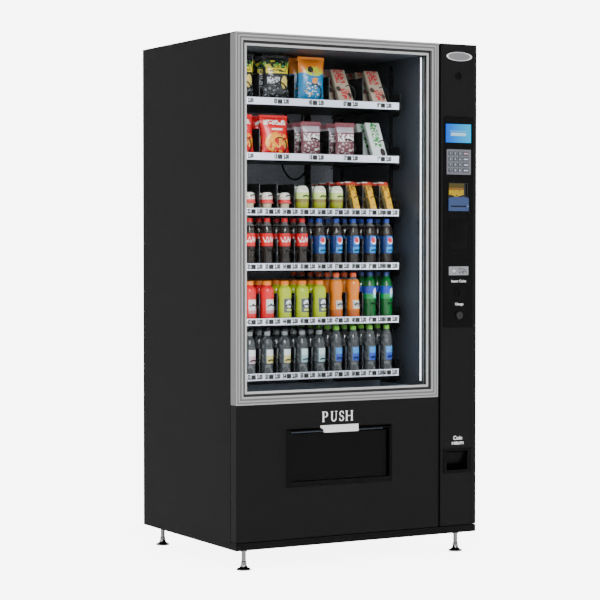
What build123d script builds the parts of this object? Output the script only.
"""Snack vending machine with a glass front, built as a bench assembly of separate pieces.

Millimetres, +Z up, -Y towards the customer. The origin is on the floor, under the middle of the machine's box.
Depths are counted from the front face of the closed door: at(10) is the Y of a plane 10 mm behind that face.
"""
import math
import os

from build123d import *

os.makedirs("parts", exist_ok=True)

# ---- Driving dimensions -------------------------------------------------------------------------
WIDTH = 1035.8
DEPTH = 789.9  # over the cabinet and the closed door
HEIGHT = 1939.8  # floor to roof
PUSH_PROUD = 20.0  # how far the push plate stands in front of the door face
FOOT_HEIGHT = 78.0  # floor to the underside of the base

LEFT = -WIDTH / 2
RIGHT = WIDTH / 2
FRONT = -(DEPTH + PUSH_PROUD) / 2 + PUSH_PROUD


def at(depth):
    """The Y of a plane this far behind the door's front face."""
    return FRONT + depth


BACK = at(DEPTH)

# Door
DOOR_DEPTH = 42.0
SKIN = 2.0  # front sheet panels
SHELL_FRONT = 45.0  # depth of the cabinet's front edge, behind the closed door
PLINTH_TOP = 104.5
DOOR_BOTTOM = 107.5
FRAME_BOTTOM = 601.5
FRAME_RIGHT = 344.8
COLUMN_LEFT = 356.0
LOWER_PANEL_TOP = 598.0
HINGE_X = LEFT + 8.9
HINGE_DEPTH = 20.0
HINGE_PIN = 5.0  # radius
RUNNING = 0.05  # radial clearance of a turning fit

# Window frame profile, counted from its outer edge inwards
BAND = 30.0
GROOVE_END = 39.5
FRAME_WIDTH = 48.0
GLASS_FRONT = 13.5
GLASS_BACK = 33.5
PANE = 4.0

# Refrigerated cavity, inside its liner
CAVITY_LEFT = -478.0
CAVITY_RIGHT = 306.0
CAVITY_FLOOR = 300.0
CAVITY_TOP = 1893.0
CAVITY_BACK = DEPTH - 62.0
STEP_DEPTH = 398.0  # the floor steps up behind this depth, over the compressor
STEP_FLOOR = 438.0
LINER = 2.0
ROOF = HEIGHT

# Trays
TRAY_COUNT = 6
TRAY_LOWEST = 676.0  # underside of the lowest tray's front rail
TRAY_PITCH = 203.6
TRAY_LEFT = -472.0
TRAY_RIGHT = 272.0
TRAY_FRONT = 152.0
TRAY_BACK = 672.0
DIVIDER_FRONT = 188.0
RAIL_HEIGHT = 27.0
TRAY_FLOOR = 10.0  # floor's top above the rail's underside
WIDE_LANES = 5
NARROW_LANES = 10
WIRE = 2.3  # radius of the spiral wire, across its corners
SPIRAL_FRONT = 158.0
SPIRAL_BACK = 620.0
SPIRAL_TURNS = 7
SPIRAL_END = 210.0  # where the front end stops, in degrees round from the bottom

# Delivery port and its flap
FLAP_DEPTH, FLAP_TOP = 3.6, 487.0  # the flap's axis
FLAP_PIN = 3.0
PORT_LEFT, PORT_RIGHT = -297.0, 121.7
PORT_BOTTOM, PORT_TOP = 314.7, 497.3

# Control column
BEZEL_LEFT, BEZEL_RIGHT = 369.0, 503.0
BEZEL_BOTTOM, BEZEL_TOP = 862.5, 1664.0
BEZEL_THICK = 3.0
KEYPAD_LEFT, KEYPAD_RIGHT = 379.3, 489.0
KEYPAD_BOTTOM, KEYPAD_TOP = 1445.0, 1540.4
KEY_PITCH = 21.3
COIN_X, COIN_Z = 435.6, 994.4
COIN_DISC = 17.7  # radius
COIN_HOLE = 18.0
CHANGE_X, CHANGE_Z = 438.4, 909.5
CHANGE_RADIUS = 14.9
CHANGE_HOLE = 15.3
LOCK_X, LOCK_Z = 436.3, 1818.5
LOCK_RADIUS = 15.0


def block(x_low, x_high, depth_low, depth_high, z_low, z_high, mode=Mode.ADD):
    """A box between two corners, added to or cut from the piece being built."""
    middle = ((x_low + x_high) / 2, at((depth_low + depth_high) / 2), (z_low + z_high) / 2)
    with Locations(middle):
        Box(x_high - x_low, depth_high - depth_low, z_high - z_low, mode=mode)


def rod_back(x, z, depth_low, depth_high, radius, mode=Mode.ADD):
    """A round bar along Y, added or cut."""
    with Locations(Location((x, at((depth_low + depth_high) / 2), z), (90, 0, 0))):
        Cylinder(radius, depth_high - depth_low, mode=mode)


def rod_across(depth, z, x_low, x_high, radius, mode=Mode.ADD):
    """A round bar along X, added or cut."""
    with Locations(Location(((x_low + x_high) / 2, at(depth), z), (0, 90, 0))):
        Cylinder(radius, x_high - x_low, mode=mode)


def rod_up(x, depth, z_low, z_high, radius, mode=Mode.ADD):
    """A round bar along Z, added or cut."""
    with Locations((x, at(depth), (z_low + z_high) / 2)):
        Cylinder(radius, z_high - z_low, mode=mode)


def facing(depth):
    """A plane at a depth, facing the customer: local x is X and local y is Z."""
    return Plane.XZ.offset(-at(depth))


def keep(piece, node):
    """Labels a finished piece and writes its STEP file."""
    piece.part.label = node
    export_step(piece.part, f"parts/{node}.step")


# ---- Cabinet ------------------------------------------------------------------------------------
# The outer casing with its foamed walls: sides, roof, back, stepped floor and the partition beside the
# control compartment. It is open at the front, and its machine room is open at the back.
COMPARTMENT_LEFT, COMPARTMENT_RIGHT = 346.0, 498.0
SLAB = 36.0
MACHINE_ROOM_TOP = STEP_FLOOR - LINER - SLAB
with BuildPart() as cabinet_shell:
    block(LEFT, RIGHT, SHELL_FRONT, DEPTH, FOOT_HEIGHT, ROOF)
    block(
        CAVITY_LEFT - LINER, CAVITY_RIGHT + LINER, SHELL_FRONT, CAVITY_BACK + LINER,
        STEP_FLOOR - LINER, CAVITY_TOP + LINER, mode=Mode.SUBTRACT,
    )
    block(
        CAVITY_LEFT - LINER, CAVITY_RIGHT + LINER, SHELL_FRONT, STEP_DEPTH + LINER,
        CAVITY_FLOOR - LINER, STEP_FLOOR, mode=Mode.SUBTRACT,
    )
    block(COMPARTMENT_LEFT, COMPARTMENT_RIGHT, SHELL_FRONT, 640, CAVITY_FLOOR, 1895, mode=Mode.SUBTRACT)
    # machine room: full height behind the step, lower in front of it, open at the back and below
    block(LEFT + 20, RIGHT - 20, 90, DEPTH, FOOT_HEIGHT, CAVITY_FLOOR - LINER - SLAB, mode=Mode.SUBTRACT)
    block(
        LEFT + 20, RIGHT - 20, STEP_DEPTH + LINER + SLAB, DEPTH,
        CAVITY_FLOOR - LINER - SLAB, MACHINE_ROOM_TOP, mode=Mode.SUBTRACT,
    )
    # the plinth's return and the recess for the top hinge plate
    block(LEFT + SKIN, RIGHT - SKIN, SHELL_FRONT, 90, FOOT_HEIGHT, PLINTH_TOP, mode=Mode.SUBTRACT)
    block(LEFT, LEFT + 19, SHELL_FRONT, 75, ROOF - 4, ROOF, mode=Mode.SUBTRACT)
keep(cabinet_shell, "cabinet_shell")

# The base: a front plinth strip and a shallow pan with a threaded boss for each foot.
FOOT_X, FOOT_INSET = 460.0, 52.0
STUD = 8.0
FOOT_PLACES = {
    "front_left": (-FOOT_X, FOOT_INSET),
    "front_right": (FOOT_X, FOOT_INSET),
    "rear_left": (-FOOT_X, DEPTH - FOOT_INSET),
    "rear_right": (FOOT_X, DEPTH - FOOT_INSET),
}
with BuildPart() as base_plinth:
    block(LEFT, RIGHT, 0, SHELL_FRONT, FOOT_HEIGHT, PLINTH_TOP)
    block(LEFT + SKIN, RIGHT - SKIN, SHELL_FRONT, 90, FOOT_HEIGHT, PLINTH_TOP)
    block(LEFT + 20, RIGHT - 20, 90, DEPTH - 4, FOOT_HEIGHT, PLINTH_TOP)
    for x_low, x_high in ((LEFT + 110, -8), (8, RIGHT - 110)):
        block(x_low, x_high, 12, DEPTH - 12, FOOT_HEIGHT, PLINTH_TOP - 3, mode=Mode.SUBTRACT)
    for x_low, x_high in ((LEFT + 24, LEFT + 106), (RIGHT - 106, RIGHT - 24)):
        block(x_low, x_high, 100, DEPTH - 100, FOOT_HEIGHT, PLINTH_TOP - 3, mode=Mode.SUBTRACT)
    for x, depth in FOOT_PLACES.values():
        rod_up(x, depth, FOOT_HEIGHT, PLINTH_TOP, STUD + RUNNING, mode=Mode.SUBTRACT)
keep(base_plinth, "base_plinth")

# A levelling foot: a bell-shaped pad on a threaded stud, with its lock nut under the base.
for place, (x, depth) in FOOT_PLACES.items():
    stand = Plane(origin=(x, at(depth), 0), x_dir=(1, 0, 0), z_dir=(0, -1, 0))
    with BuildPart() as levelling_foot:
        with BuildSketch(stand):
            with BuildLine():
                Polyline((0, 0), (26, 0), (26, 3.5), (23.5, 6))
                Bezier((23.5, 6), (14, 8), (11, 14), (10, 24))
                Polyline((10, 24), (10, 30), (STUD, 32), (STUD, PLINTH_TOP - 6), (0, PLINTH_TOP - 6), (0, 0))
            make_face()
        revolve(axis=Axis((x, at(depth), 0), (0, 0, 1)))
        with BuildSketch(Plane.XY.offset(FOOT_HEIGHT - 11)):
            with Locations((x, at(depth))):
                RegularPolygon(13.5, 6)
        extrude(amount=10)
    keep(levelling_foot, f"levelling_foot_{place}")

# The food-side lining: one formed sheet that follows the stepped cavity, open towards the door.
with BuildPart() as inner_liner:
    block(
        CAVITY_LEFT - LINER, CAVITY_RIGHT + LINER, SHELL_FRONT, CAVITY_BACK + LINER,
        STEP_FLOOR - LINER, CAVITY_TOP + LINER,
    )
    block(
        CAVITY_LEFT - LINER, CAVITY_RIGHT + LINER, SHELL_FRONT, STEP_DEPTH + LINER,
        CAVITY_FLOOR - LINER, STEP_FLOOR,
    )
    block(
        CAVITY_LEFT, CAVITY_RIGHT, SHELL_FRONT, CAVITY_BACK, STEP_FLOOR, CAVITY_TOP,
        mode=Mode.SUBTRACT,
    )
    block(
        CAVITY_LEFT, CAVITY_RIGHT, SHELL_FRONT, STEP_DEPTH, CAVITY_FLOOR, STEP_FLOOR,
        mode=Mode.SUBTRACT,
    )
keep(inner_liner, "inner_liner")

# Slotted uprights on the lining's sides and back, and a runner pair for each tray with a latch lever at its
# right end. The trays' wiring shares this node, as a solid of its own.
UPRIGHT_DEPTHS = (262.0, 640.0)
UPRIGHT_BOTTOM, UPRIGHT_TOP = 600.0, CAVITY_TOP - 20
REAR_UPRIGHTS = (-356.0, 184.0)  # on the back wall
SLOT_PITCH = 25.4
with BuildPart() as tray_rails:
    for depth in UPRIGHT_DEPTHS:
        for x_low, x_high in ((CAVITY_LEFT, CAVITY_LEFT + 3), (CAVITY_RIGHT - 3, CAVITY_RIGHT)):
            block(x_low, x_high, depth, depth + 24, UPRIGHT_BOTTOM, UPRIGHT_TOP)
    for x in REAR_UPRIGHTS:
        block(x - 12, x + 12, CAVITY_BACK - 10, CAVITY_BACK, UPRIGHT_BOTTOM, UPRIGHT_TOP)
    slot_count = int((UPRIGHT_TOP - UPRIGHT_BOTTOM) / SLOT_PITCH) - 1
    for row in range(slot_count):
        z = UPRIGHT_BOTTOM + 18 + row * SLOT_PITCH
        for depth in UPRIGHT_DEPTHS:
            block(CAVITY_RIGHT - 3, CAVITY_RIGHT, depth + 8, depth + 16, z, z + 10, mode=Mode.SUBTRACT)
        for x in REAR_UPRIGHTS:
            block(x - 2, x + 2, CAVITY_BACK - 10, CAVITY_BACK - 2, z, z + 14, mode=Mode.SUBTRACT)
    for tray in range(TRAY_COUNT):
        z = TRAY_LOWEST + tray * TRAY_PITCH
        # left: a slim angle with a ledge under the tray
        block(CAVITY_LEFT + 3, TRAY_LEFT - 0.6, TRAY_FRONT + 10, TRAY_BACK, z - 4, z + 30)
        block(CAVITY_LEFT + 3, TRAY_LEFT + 8, TRAY_FRONT + 10, TRAY_BACK, z - 4, z - 1)
        # right: a wider channel standing off the lining
        block(TRAY_RIGHT + 0.6, TRAY_RIGHT + 3.6, TRAY_FRONT + 10, TRAY_BACK, z - 4, z + 30)
        block(TRAY_RIGHT - 8, TRAY_RIGHT + 3.6, TRAY_FRONT + 10, TRAY_BACK, z - 4, z - 1)
        for depth in UPRIGHT_DEPTHS:
            block(TRAY_RIGHT + 3.6, CAVITY_RIGHT - 3, depth + 2, depth + 22, z, z + 24)
        with BuildSketch(Plane.YZ.offset(TRAY_RIGHT + 3.6)):
            with BuildLine():
                Polyline(
                    (at(TRAY_FRONT + 4), z + 6), (at(TRAY_FRONT + 22), z - 26), (at(TRAY_FRONT + 66), z - 26),
                    (at(TRAY_FRONT + 58), z + 34), (at(TRAY_FRONT + 34), z + 66), (at(TRAY_FRONT + 18), z + 60),
                    (at(TRAY_FRONT + 4), z + 6),
                )
            make_face()
        extrude(amount=4)
        for depth_in, rise in ((13, 10), (40, 40), (48, -12)):
            rod_across(TRAY_FRONT + depth_in, z + rise, TRAY_RIGHT + 7.6, TRAY_RIGHT + 9.6, 3.0)

# The trays' wiring: a cable that hangs from two sockets on the back wall and crosses itself above its loop.
CABLE = 3.5  # radius
CABLE_PATH = [  # X, depth and Z from one socket to the other
    (46, 710, 1796), (60, 700, 1725), (85, 696, 1663), (118, 695, 1600), (174, 697, 1513), (112, 700, 1441),
    (54, 703, 1512), (106, 707, 1600), (146, 706, 1674), (152, 704, 1725), (154, 710, 1796),
]
with BuildPart() as wiring_loop:
    with BuildLine():
        path = Spline(*[(x, at(depth), z) for x, depth, z in CABLE_PATH], tangents=((0, 0, -1), (0, 0, 1)))
    with BuildSketch(Plane(origin=path @ 0, z_dir=path % 0)):
        Circle(CABLE)
    sweep()
    for x, depth, z in (CABLE_PATH[0], CABLE_PATH[-1]):
        block(x - 10, x + 10, depth - 8, CAVITY_BACK, z - 12, z + 12)
rails_and_wiring = Compound([*tray_rails.part.solids(), *wiring_loop.part.solids()])
rails_and_wiring.label = "tray_rails"
export_step(rails_and_wiring, "parts/tray_rails.step")

# The delivery bin: a trough with a sloped back that brings a falling product to the flap.
with BuildPart() as delivery_bin:
    with BuildSketch(Plane.YZ.offset(CAVITY_LEFT + 4)):
        with BuildLine():
            Polyline(
                (at(52), 303), (at(250), 303), (at(352), 640), (at(352), 646), (at(349), 646), (at(248), 306),
                (at(54), 306), (at(54), 313), (at(52), 313), (at(52), 303),
            )
        make_face()
    extrude(amount=CAVITY_RIGHT - CAVITY_LEFT - 8)
    with BuildSketch(Plane.YZ.offset(CAVITY_LEFT + 4), Plane.YZ.offset(CAVITY_RIGHT - 6)):
        with BuildLine():
            Polyline((at(52), 303), (at(250), 303), (at(352), 640), (at(52), 640), (at(52), 303))
        make_face()
    extrude(amount=2)
keep(delivery_bin, "delivery_bin")

# Refrigeration: compressor, condenser with its fan shroud and motor, evaporator and connecting pipes.
FAN_X, FAN_DEPTH, FAN_Z = -190.0, 620.0, 250.0
with BuildPart() as refrigeration_unit:
    block(-440, 420, 480, 760, PLINTH_TOP, PLINTH_TOP + 6)
    # compressor can
    with BuildSketch(Plane(origin=(230, at(640), PLINTH_TOP + 6), x_dir=(1, 0, 0), z_dir=(0, -1, 0))):
        with BuildLine():
            Polyline((0, 0), (92, 0), (92, 12), (84, 16), (84, 150))
            Bezier((84, 150), (84, 190), (50, 205), (0, 205))
            Line((0, 205), (0, 0))
        make_face()
    revolve(axis=Axis((230, at(640), 0), (0, 0, 1)))
    # condenser core with fins, in front of the fan
    block(-390, 10, 500, 560, PLINTH_TOP + 6, 392)
    for fin in range(24):
        block(-382 + fin * 16, -374 + fin * 16, 500, 512, 124, 384, mode=Mode.SUBTRACT)
    # shroud ring, motor and its bracket
    block(-330, -50, 560, 600, PLINTH_TOP + 6, 392)
    rod_back(FAN_X, FAN_Z, 560, 600, 128, mode=Mode.SUBTRACT)
    rod_back(FAN_X, FAN_Z, 640, 700, 34)
    block(FAN_X - 6, FAN_X + 6, 664, 676, PLINTH_TOP + 6, FAN_Z)
    rod_back(FAN_X, FAN_Z, 640, 668, 4 + RUNNING, mode=Mode.SUBTRACT)
    # evaporator in the cavity, behind the bin
    block(-420, 240, 470, 590, STEP_FLOOR, STEP_FLOOR + 150)
    for fin in range(40):
        block(-408 + fin * 16, -400 + fin * 16, 470, 482, STEP_FLOOR + 14, STEP_FLOOR + 140, mode=Mode.SUBTRACT)
keep(refrigeration_unit, "refrigeration_unit")

with BuildPart() as condenser_fan:
    rod_back(FAN_X, FAN_Z, 604, 632, 24)
    rod_back(FAN_X, FAN_Z, 632, 664, 4)
    for blade in range(5):
        turn = blade * 72
        spot = Location((FAN_X, at(618), FAN_Z), (0, turn, 0)) * Location((68, 0, 0), (28, 0, 0))
        with Locations(spot):
            Box(100, 2.5, 46)
keep(condenser_fan, "condenser_fan")

# The rear cover closes the machine room, with slots for the condenser's air.
GLAND_X, GLAND_Z = 430.0, 150.0
GLAND_BORE = 4.5
with BuildPart() as rear_cover:
    block(LEFT + 20, RIGHT - 20, DEPTH - 3, DEPTH, PLINTH_TOP, MACHINE_ROOM_TOP)
    for row in range(3):
        with BuildSketch(facing(DEPTH)):
            with Locations((-40, 176 + row * 76)):
                with GridLocations(22, 1, 30, 1):
                    SlotOverall(56, 8, rotation=90)
        extrude(amount=3, mode=Mode.SUBTRACT)
    rod_back(GLAND_X, GLAND_Z, DEPTH - 3, DEPTH, 9, mode=Mode.SUBTRACT)
keep(rear_cover, "rear_cover")

# The mains lead's rubber gland, in the rear cover.
with BuildPart() as mains_gland:
    rod_back(GLAND_X, GLAND_Z, DEPTH - 23, DEPTH - 3, 15)
    rod_back(GLAND_X, GLAND_Z, DEPTH - 3, DEPTH, 9)
    rod_back(GLAND_X, GLAND_Z, DEPTH - 23, DEPTH, GLAND_BORE, mode=Mode.SUBTRACT)
keep(mains_gland, "mains_gland")

# Hinge pins: the lower one stands on the plinth, the upper one hangs from a plate let into the roof.
with BuildPart() as door_hinges:
    rod_up(HINGE_X, HINGE_DEPTH, PLINTH_TOP, DOOR_BOTTOM - 0.5, 8.8)
    rod_up(HINGE_X, HINGE_DEPTH, DOOR_BOTTOM - 0.5, DOOR_BOTTOM + 24, HINGE_PIN)
    rod_up(HINGE_X, HINGE_DEPTH, ROOF - 3.4, ROOF - 0.4, 8.8)
    block(HINGE_X - 8.8, HINGE_X + 8.8, HINGE_DEPTH, 74, ROOF - 3.4, ROOF - 0.4)
    rod_up(HINGE_X, HINGE_DEPTH, ROOF - 30, ROOF - 3.4, HINGE_PIN)
keep(door_hinges, "door_hinges")

# ---- Door ---------------------------------------------------------------------------------------
# The door's foamed lower slab and its hollow control column, with the port and the hinge bore.
with BuildPart() as door_core:
    block(LEFT, FRAME_RIGHT, SKIN, DOOR_DEPTH, DOOR_BOTTOM, FRAME_BOTTOM)
    block(FRAME_RIGHT, RIGHT, SKIN, DOOR_DEPTH, DOOR_BOTTOM, ROOF)
    block(COLUMN_LEFT + 4, RIGHT - 6, SKIN, DOOR_DEPTH, 290, ROOF - 8, mode=Mode.SUBTRACT)
    block(FRAME_RIGHT, COLUMN_LEFT, SKIN, 10, DOOR_BOTTOM, ROOF, mode=Mode.SUBTRACT)
    block(
        PORT_LEFT - 3.3, PORT_RIGHT + 3.3, SKIN, DOOR_DEPTH, PORT_BOTTOM - 3.3, PORT_TOP + 3.3,
        mode=Mode.SUBTRACT,
    )
    rod_up(HINGE_X, HINGE_DEPTH, DOOR_BOTTOM, DOOR_BOTTOM + 30, HINGE_PIN + RUNNING, mode=Mode.SUBTRACT)
keep(door_core, "door_core")

# The window frame: four mitred aluminium members with a stepped, beaded face.
FRAME_X = (LEFT + FRAME_RIGHT) / 2
FRAME_Z = (FRAME_BOTTOM + ROOF) / 2
FRAME_SPAN = FRAME_RIGHT - LEFT
FRAME_RISE = ROOF - FRAME_BOTTOM


def frame_ring(inset_outer, inset_inner, depth_low, depth_high, mode):
    """A rectangular ring of the frame, between two insets from its outer edge, added or cut."""
    with BuildSketch(facing(depth_high)) as ring:
        with Locations((FRAME_X, FRAME_Z)):
            Rectangle(FRAME_SPAN - 2 * inset_outer, FRAME_RISE - 2 * inset_outer)
            Rectangle(FRAME_SPAN - 2 * inset_inner, FRAME_RISE - 2 * inset_inner, mode=Mode.SUBTRACT)
    extrude(ring.sketch, amount=depth_high - depth_low, mode=mode)


with BuildPart() as window_frame:
    frame_ring(0, BAND, 0, DOOR_DEPTH, Mode.ADD)
    frame_ring(BAND - 0.01, FRAME_WIDTH, 10, GLASS_FRONT, Mode.ADD)
    frame_ring(GROOVE_END, FRAME_WIDTH, 7.4, 10.01, Mode.ADD)
    frame_ring(BAND - 0.01, BAND + 12, GLASS_BACK + 0.3, DOOR_DEPTH, Mode.ADD)
    # two sunk channels between the three beads of the outer band
    frame_ring(5.4, 10.3, -1, 1.5, Mode.SUBTRACT)
    frame_ring(16.0, 22.8, -1, 1.5, Mode.SUBTRACT)
    for x, slant_x in ((LEFT, 1), (FRAME_RIGHT, -1)):
        for z, slant_z in ((FRAME_BOTTOM, 1), (ROOF, -1)):
            tilt = -45 * slant_x * slant_z
            with Locations(Location((x, at(20), z), (0, tilt, 0))):
                Box(160, 60, 0.3, mode=Mode.SUBTRACT)
    block(LEFT - 1, LEFT + 18.8, 6.5, DOOR_DEPTH + 1, ROOF - 4, ROOF + 1, mode=Mode.SUBTRACT)
    rod_up(HINGE_X, HINGE_DEPTH, ROOF - 34, ROOF, HINGE_PIN + RUNNING, mode=Mode.SUBTRACT)
keep(window_frame, "window_frame")

# Double glazing: two panes held apart by the spacer that belongs to the seal.
GLASS_INSET = BAND + 3
with BuildPart() as window_glass:
    for depth in (GLASS_FRONT, GLASS_BACK - PANE):
        with BuildSketch(facing(depth + PANE)):
            with Locations((FRAME_X, FRAME_Z)):
                Rectangle(FRAME_SPAN - 2 * GLASS_INSET, FRAME_RISE - 2 * GLASS_INSET)
        extrude(amount=PANE)
keep(window_glass, "window_glass")

# Rubber: the spacer between the panes, and the magnetic seal that closes against the cabinet.
with BuildPart() as door_gasket:
    frame_ring(GLASS_INSET, GLASS_INSET + 11, GLASS_FRONT + PANE, GLASS_BACK - PANE, Mode.ADD)
    seal_left, seal_right, seal_bottom, seal_top = LEFT + 18, 334.0, 272.0, ROOF - 18
    block(seal_left, seal_right, DOOR_DEPTH, SHELL_FRONT - 0.4, seal_bottom, seal_top)
    block(
        seal_left + 14, seal_right - 14, DOOR_DEPTH, SHELL_FRONT - 0.4, seal_bottom + 14, seal_top - 14,
        mode=Mode.SUBTRACT,
    )
keep(door_gasket, "door_gasket")

with BuildPart() as lower_panel:
    block(LEFT, FRAME_RIGHT, 0, SKIN, DOOR_BOTTOM, LOWER_PANEL_TOP)
    block(
        PORT_LEFT - 3.3, PORT_RIGHT + 3.3, 0, SKIN, PORT_BOTTOM - 3.3, PORT_TOP + 3.3,
        mode=Mode.SUBTRACT,
    )
keep(lower_panel, "lower_panel")

# The tall panel of the control column, cut out for everything that looks through it.
# left, right, bottom and top of each
CUP_LEFT, CUP_RIGHT, CUP_BOTTOM, CUP_TOP = 384.0, 478.0, 319.0, 391.5
SCREEN = (376.0, 492.3, 1566.0, 1637.0)
BILL = (388.0, 477.0, 1306.0, 1414.0)
BLANK_PLATE = (387.2, 477.7, 1162.5, 1273.0)
COIN_LABEL = (390.9, 481.4, 1062.0, 1096.0)
KEY_FIELD = (KEYPAD_LEFT + 4, KEYPAD_RIGHT - 4, KEYPAD_BOTTOM + 4, KEYPAD_TOP - 4)
with BuildPart() as column_panel:
    block(COLUMN_LEFT, RIGHT, 0, SKIN, DOOR_BOTTOM, ROOF)
    for x_low, x_high, z_low, z_high in (SCREEN, BILL, KEY_FIELD):
        block(x_low, x_high, 0, SKIN, z_low, z_high, mode=Mode.SUBTRACT)
    block(CUP_LEFT - 3, CUP_RIGHT + 3, 0, SKIN, CUP_BOTTOM - 3, CUP_TOP + 3, mode=Mode.SUBTRACT)
    rod_back(COIN_X, COIN_Z, 0, SKIN, COIN_HOLE, mode=Mode.SUBTRACT)
    rod_back(CHANGE_X, CHANGE_Z, 0, SKIN, CHANGE_HOLE, mode=Mode.SUBTRACT)
    rod_back(LOCK_X, LOCK_Z, 0, SKIN, LOCK_RADIUS + RUNNING, mode=Mode.SUBTRACT)
keep(column_panel, "column_panel")

# The control bezel: a rounded plate on the column that frames the display, keypad, notes and coins.
with BuildPart() as control_bezel:
    with BuildSketch(facing(0)):
        with Locations(((BEZEL_LEFT + BEZEL_RIGHT) / 2, (BEZEL_BOTTOM + BEZEL_TOP) / 2)):
            RectangleRounded(BEZEL_RIGHT - BEZEL_LEFT, BEZEL_TOP - BEZEL_BOTTOM, 9)
    extrude(amount=BEZEL_THICK)
    chamfer(control_bezel.faces().sort_by(Axis.Y)[0].edges(), 1.0)
    for x_low, x_high, z_low, z_high in (SCREEN, BILL, KEY_FIELD):
        block(x_low, x_high, -5, 1, z_low, z_high, mode=Mode.SUBTRACT)
    # the blank reader plate and the coin label sit in shallow pockets
    x_low, x_high, z_low, z_high = BLANK_PLATE
    block(x_low, x_high, -5, -1.2, z_low, z_high, mode=Mode.SUBTRACT)
    block(x_low + 1.5, x_high - 1.5, -2.4, -1, z_low + 1.5, z_high - 1.5)
    x_low, x_high, z_low, z_high = COIN_LABEL
    block(x_low, x_high, -5, -2.0, z_low, z_high, mode=Mode.SUBTRACT)
    rod_back(CHANGE_X, CHANGE_Z, -5, -3, 18.5)
    rod_back(COIN_X, COIN_Z, -5, 1, COIN_HOLE, mode=Mode.SUBTRACT)
    rod_back(CHANGE_X, CHANGE_Z, -6, 1, CHANGE_HOLE, mode=Mode.SUBTRACT)
keep(control_bezel, "control_bezel")

with BuildPart() as display:
    block(SCREEN[0] + 0.5, SCREEN[1] - 0.5, -2.4, 6, SCREEN[2] + 0.5, SCREEN[3] - 0.5)
    block(SCREEN[0] + 4, SCREEN[1] - 4, 6, 22, SCREEN[2] + 4, SCREEN[3] - 4)
keep(display, "display")

# Keypad: a metal plate and sixteen keys, the last column wider than the others.
KEY_SIZES = [(15.6, 16.0), (36.9, 16.0), (58.2, 16.0), (85.5, 27.0)]  # centre from the left edge, width
KEY_HEIGHT = 15.0
KEY_GAP = 0.45
with BuildPart() as keypad_plate:
    with BuildSketch(facing(-BEZEL_THICK)):
        with Locations(((KEYPAD_LEFT + KEYPAD_RIGHT) / 2, (KEYPAD_BOTTOM + KEYPAD_TOP) / 2)):
            RectangleRounded(KEYPAD_RIGHT - KEYPAD_LEFT, KEYPAD_TOP - KEYPAD_BOTTOM, 3)
    extrude(amount=2.5)
    for row in range(4):
        z = KEYPAD_TOP - 15.8 - row * KEY_PITCH
        for centre, wide in KEY_SIZES:
            x = KEYPAD_LEFT + centre
            block(
                x - wide / 2, x + wide / 2, -6, -2, z - KEY_HEIGHT / 2, z + KEY_HEIGHT / 2,
                mode=Mode.SUBTRACT,
            )
keep(keypad_plate, "keypad_plate")

KEY_NAMES = [
    ["key_1", "key_2", "key_3", "key_up"],
    ["key_4", "key_5", "key_6", "key_down"],
    ["key_7", "key_8", "key_9", "key_cancel"],
    ["key_star", "key_0", "key_hash", "key_enter"],
]
for row, names in enumerate(KEY_NAMES):
    z = KEYPAD_TOP - 15.8 - row * KEY_PITCH
    for (centre, wide), name in zip(KEY_SIZES, names):
        x = KEYPAD_LEFT + centre
        half_x, half_z = wide / 2 - KEY_GAP, KEY_HEIGHT / 2 - KEY_GAP
        with BuildPart() as key:
            block(x - half_x, x + half_x, -8, -2.4, z - half_z, z + half_z)
            fillet(key.faces().sort_by(Axis.Y)[0].edges(), 1.2)
            # the skirt that keeps the key behind its plate
            block(x - half_x - 1.4, x + half_x + 1.4, -2.4, -0.8, z - half_z - 1.4, z + half_z + 1.4)
        keep(key, name)

# The note reader: a nose with its slot, and the transport behind the panel.
with BuildPart() as bill_validator:
    block(BILL[0] + 0.5, BILL[1] - 0.5, -4, 8, BILL[2] + 0.5, BILL[3] - 0.5)
    block(BILL[0] + 4, BILL[1] - 4, 8, 150, BILL[2] + 4, BILL[3] + 90)
    # recess beside and behind the lens, and the note slot
    block(BILL[0] + 3, BILL[1] - 3, -4, 2, 1362, BILL[3] - 3, mode=Mode.SUBTRACT)
    block(BILL[0] + 9, BILL[1] - 9, -4, 6, 1322, 1327, mode=Mode.SUBTRACT)
keep(bill_validator, "bill_validator")

# The coin acceptor: a slotted disc in the bezel with the sorter behind it.
with BuildPart() as coin_acceptor:
    rod_back(COIN_X, COIN_Z, -5, 10, COIN_DISC)
    fillet(coin_acceptor.faces().sort_by(Axis.Y)[0].edges(), 1.5)
    block(COIN_X - 48, COIN_X + 48, 10, 120, COIN_Z - 46, COIN_Z + 70)
    block(COIN_X - 1.6, COIN_X + 1.6, -6, 40, COIN_Z - 11, COIN_Z + 11, mode=Mode.SUBTRACT)
keep(coin_acceptor, "coin_acceptor")

# The change button travels 3 mm; its flange keeps it behind the panel.
with BuildPart() as change_button:
    rod_back(CHANGE_X, CHANGE_Z, -9, 4, CHANGE_RADIUS)
    fillet(change_button.faces().sort_by(Axis.Y)[0].edges(), 2.0)
    rod_back(CHANGE_X, CHANGE_Z, 4, 6, 16.5)
keep(change_button, "change_button")

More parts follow.
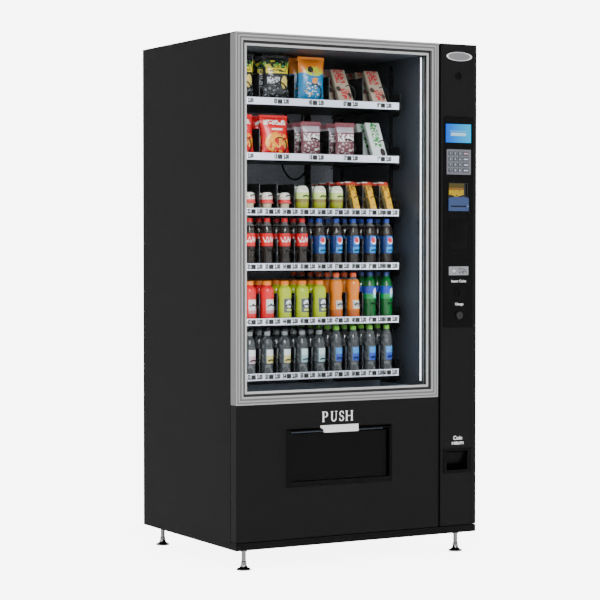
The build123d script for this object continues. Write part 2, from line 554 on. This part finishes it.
# The coin return: a cup with a flange on the panel, and its tilted flap.
CUP_DEPTH = 74.0
FLAP_AXIS_DEPTH, FLAP_AXIS_Z = 8.0, 386.5
with BuildPart() as coin_return_cup:
    block(369.2, 497.8, -3, 0, 308.0, 401.0)
    chamfer(coin_return_cup.faces().sort_by(Axis.Y)[0].edges(), 1.2)
    block(CUP_LEFT - 2.5, CUP_RIGHT + 2.5, 0, CUP_DEPTH, CUP_BOTTOM - 2.5, CUP_TOP + 2.5)
    block(CUP_LEFT, CUP_RIGHT, -4, CUP_DEPTH - 2.5, CUP_BOTTOM, CUP_TOP, mode=Mode.SUBTRACT)
    rod_across(
        FLAP_AXIS_DEPTH, FLAP_AXIS_Z, CUP_LEFT - 2.5, CUP_RIGHT + 2.5, 2.0 + RUNNING,
        mode=Mode.SUBTRACT,
    )
keep(coin_return_cup, "coin_return_cup")

FLAP_TILT = 20.0
COIN_FLAP_LONG = 61.0
with BuildPart() as coin_return_flap:
    spot = Location((0, at(FLAP_AXIS_DEPTH), FLAP_AXIS_Z), (FLAP_TILT, 0, 0))
    with Locations(spot * Location(((CUP_LEFT + CUP_RIGHT) / 2, 0, -COIN_FLAP_LONG / 2))):
        Box(CUP_RIGHT - CUP_LEFT - 1.2, 2.5, COIN_FLAP_LONG)
    rod_across(FLAP_AXIS_DEPTH, FLAP_AXIS_Z, CUP_LEFT + 0.6, CUP_RIGHT - 0.6, 3.0)
    rod_across(FLAP_AXIS_DEPTH, FLAP_AXIS_Z, CUP_LEFT - 2.4, CUP_RIGHT + 2.4, 2.0)
keep(coin_return_flap, "coin_return_flap")

# The door lock: a turning plug with a key slot, and its cam behind the panel.
with BuildPart() as door_lock:
    rod_back(LOCK_X, LOCK_Z, -3, 34, LOCK_RADIUS)
    fillet(door_lock.faces().sort_by(Axis.Y)[0].edges(), 1.2)
    block(LOCK_X - 1.4, LOCK_X + 1.4, -4, 3, LOCK_Z - 7, LOCK_Z + 7, mode=Mode.SUBTRACT)
    block(LOCK_X - 9, LOCK_X + 9, 34, 38, LOCK_Z - 9, LOCK_Z + 52)
keep(door_lock, "door_lock")

# The delivery bezel: a bevelled surround with a sleeve through the door that carries the flap's pins.
RIM = 12.0
with BuildPart() as delivery_bezel:
    with BuildSketch(facing(0)):
        with Locations((-87.8, 400.5)):
            Rectangle(453.2, 214)
    with BuildSketch(facing(-RIM)):
        with Locations((-87.65, 404.25)):
            Rectangle(426.7, 193.5)
    loft()
    block(PORT_LEFT - 3, PORT_RIGHT + 3, 0, 18, PORT_BOTTOM - 3, PORT_TOP + 3)
    block(PORT_LEFT, PORT_RIGHT, -RIM - 1, 19, PORT_BOTTOM, PORT_TOP, mode=Mode.SUBTRACT)
    for x in (-159.0, -14.8):
        block(x - 21, x + 21, -RIM, -3, 297.5, 301.5, mode=Mode.SUBTRACT)
    rod_across(FLAP_DEPTH, FLAP_TOP, PORT_LEFT - 3, PORT_RIGHT + 3, FLAP_PIN + RUNNING, mode=Mode.SUBTRACT)
keep(delivery_bezel, "delivery_bezel")

# The flap hangs from its pins and swings inwards.
with BuildPart() as delivery_flap:
    block(PORT_LEFT + 3, PORT_RIGHT - 3, 1.5, 4, PORT_BOTTOM + 1.3, FLAP_TOP)
    rod_across(FLAP_DEPTH, FLAP_TOP, PORT_LEFT + 3, PORT_RIGHT - 3, 4.5)
    rod_across(FLAP_DEPTH, FLAP_TOP, PORT_LEFT - 2.8, PORT_RIGHT + 2.8, FLAP_PIN)
    # folded stiffening edges, and a bar along the bottom whose weight keeps the flap shut
    block(PORT_LEFT + 3, PORT_LEFT + 5, 4, 12, PORT_BOTTOM + 1.3, 470)
    block(PORT_RIGHT - 5, PORT_RIGHT - 3, 4, 12, PORT_BOTTOM + 1.3, 470)
    block(PORT_LEFT + 3, PORT_RIGHT - 3, 4, 14, PORT_BOTTOM + 1.3, PORT_BOTTOM + 11.3)
keep(delivery_flap, "delivery_flap")

# The white push plate: a sloped hood over the bezel's upper edge, narrower at its outer end.
with BuildPart() as push_plate:
    with BuildSketch(Plane.YZ.offset(-88)):
        with BuildLine():
            Polyline(
                (at(0), 515.4), (at(-PUSH_PROUD), 494.0), (at(-PUSH_PROUD), 490.8), (at(-RIM), 490.8),
                (at(-RIM), 501.0), (at(0), 507.5), (at(0), 515.4),
            )
        make_face()
    extrude(amount=81, both=True)
    with BuildSketch(Plane.XY.offset(480)):
        with BuildLine():
            Polyline(
                (-169, at(0)), (-7, at(0)), (-18, at(-PUSH_PROUD)), (-158, at(-PUSH_PROUD)), (-169, at(0)),
            )
        make_face()
    extrude(amount=40, mode=Mode.INTERSECT)
keep(push_plate, "push_plate")

# Two LED strips on the cavity's front corners.
with BuildPart() as light_strips:
    for x_low in (CAVITY_LEFT, CAVITY_RIGHT - 8):
        block(x_low, x_low + 8, 47, 55, 662, 1886)
keep(light_strips, "light_strips")


# ---- Trays and spirals --------------------------------------------------------------------------
SHAFT_RISE = 1.2  # the spiral's clearance over the tray floor


def make_spiral(radius):
    """A wire spiral along Y, centred on its axis, with the arm and shaft that its motor turns."""
    length = SPIRAL_BACK - SPIRAL_FRONT
    with BuildPart() as wire:
        with BuildLine(facing(SPIRAL_BACK)):
            turns = Helix(pitch=length / SPIRAL_TURNS, height=length, radius=radius, direction=(0, -1, 0))
        with BuildSketch(Plane(origin=turns @ 0, z_dir=turns % 0)):
            RegularPolygon(WIRE, 6)
        sweep()
        block(-2, 2, SPIRAL_BACK - 2, SPIRAL_BACK + 2, -radius - 1.5, 0)
        rod_back(0, 0, SPIRAL_BACK - 4, SPIRAL_BACK + 20, 4.0)
    return wire.part


def make_tray(lane_count, radius):
    """A tray with its rail at height 0: floor, sides, lane dividers, and a motor behind each lane."""
    pitch = (TRAY_RIGHT - TRAY_LEFT) / lane_count
    shaft_z = TRAY_FLOOR + radius + WIRE + SHAFT_RISE
    middle = (TRAY_LEFT + TRAY_RIGHT) / 2
    wall_top, divider_top, motor_top = 62.0, 118.0, 84.0
    with BuildPart() as pan:
        block(TRAY_LEFT, TRAY_RIGHT, TRAY_FRONT, TRAY_FRONT + 3, 0, RAIL_HEIGHT)
        block(TRAY_LEFT, TRAY_RIGHT, TRAY_FRONT + 3, TRAY_BACK, TRAY_FLOOR - 2, TRAY_FLOOR)
        for x_low in (TRAY_LEFT, TRAY_RIGHT - 1.5):
            block(x_low, x_low + 1.5, TRAY_FRONT + 3, TRAY_BACK, TRAY_FLOOR, wall_top)
        block(TRAY_LEFT + 1.5, TRAY_RIGHT - 1.5, SPIRAL_BACK + 6, SPIRAL_BACK + 8, TRAY_FLOOR, motor_top)
        divider_back = SPIRAL_BACK + 6
        with Locations((middle, at((DIVIDER_FRONT + divider_back) / 2), (TRAY_FLOOR + divider_top) / 2)):
            with GridLocations(pitch, 1, lane_count - 1, 1):
                Box(1.2, divider_back - DIVIDER_FRONT, divider_top - TRAY_FLOOR)
        with Locations((middle, at((SPIRAL_BACK + TRAY_BACK + 4) / 2), shaft_z - 3)):
            with GridLocations(pitch, 1, lane_count, 1):
                Box(34, TRAY_BACK - SPIRAL_BACK - 12, 38)
        with Locations(Location((middle, at(SPIRAL_BACK + 14), shaft_z))):
            with GridLocations(pitch, 1, lane_count, 1):
                Cylinder(4.0 + RUNNING, 18, rotation=(90, 0, 0), mode=Mode.SUBTRACT)
    return pan.part


# the lanes, from the top tray down: how many, and the mean radius of their spirals
LANES = [(WIDE_LANES, 36.0)] * 2 + [(NARROW_LANES, 31.0)] * 4
spirals = {radius: make_spiral(radius) for lane_count, radius in set(LANES)}
pans = {lane_count: make_tray(lane_count, radius) for lane_count, radius in set(LANES)}
for number, (lane_count, radius) in enumerate(LANES, start=1):
    z = TRAY_LOWEST + (TRAY_COUNT - number) * TRAY_PITCH
    pitch = (TRAY_RIGHT - TRAY_LEFT) / lane_count
    shaft_z = z + TRAY_FLOOR + radius + WIRE + SHAFT_RISE
    wires = [
        spirals[radius].moved(Location((TRAY_LEFT + pitch * (lane + 0.5), 0, shaft_z), (0, -SPIRAL_END, 0)))
        for lane in range(lane_count)
    ]
    pan = pans[lane_count].moved(Location((0, 0, z)))
    if number == 1:
        # the top tray's spirals are pieces of their own
        for lane, wire in enumerate(wires, start=1):
            wire.label = f"spiral_{lane}"
            export_step(wire, f"parts/spiral_{lane}.step")
        wires = []
    tray = Compound([*pan.solids(), *[solid for wire in wires for solid in wire.solids()]])
    tray.label = f"tray_{number}"
    export_step(tray, f"parts/tray_{number}.step")
